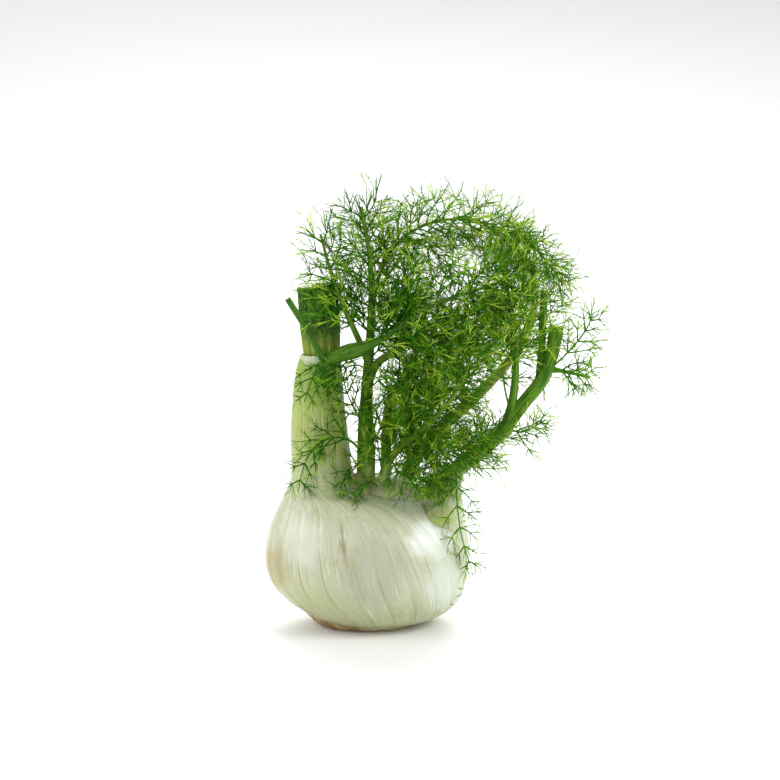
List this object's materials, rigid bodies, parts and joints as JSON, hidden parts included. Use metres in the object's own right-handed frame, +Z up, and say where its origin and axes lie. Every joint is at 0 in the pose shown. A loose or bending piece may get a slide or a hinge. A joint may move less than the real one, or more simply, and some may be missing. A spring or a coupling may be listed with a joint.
{
  "type": "fennel bulb",
  "caption": "Florence fennel: a pale, ribbed, swollen bulb of overlapping leaf bases with a tall sheath, a cut stalk and green stalks that branch into feathery thread-like leaves.",
  "frame": {"origin": "middle of the flat cut under the root plate, about under the bulb's middle", "axes": "+Z up through the leaves; +X along the bulb's broad side, towards the branching right-hand leaf, with the tall sheath at -X; -Y towards the bulb's front"},
  "size_m": [0.1683, 0.0987, 0.2207],
  "materials": {
    "root": "corky, dry and rough",
    "heart": "smooth and moist",
    "bulb": "waxy, finely ribbed, softly shining",
    "stalk": "ribbed and softly shining",
    "leaf_green": "soft and slightly shining",
    "leaf_yellow": "soft and slightly shining",
    "leaf_dark": "soft and slightly shining"
  },
  "bodies": {
    "root": {"root_plate": "root", "heart_leaf_bases": "heart", "right_leaf_base": "bulb", "outer_leaf_base": "bulb", "cut_stalk": "stalk", "outer_leaf": "leaf_green", "upright_leaf": "leaf_green", "right_leaf": "leaf_green", "front_leaf": "leaf_yellow", "centre_leaf": "leaf_yellow", "arching_leaf": "leaf_green", "back_leaf": "leaf_dark"}
  },
  "joints": []
}
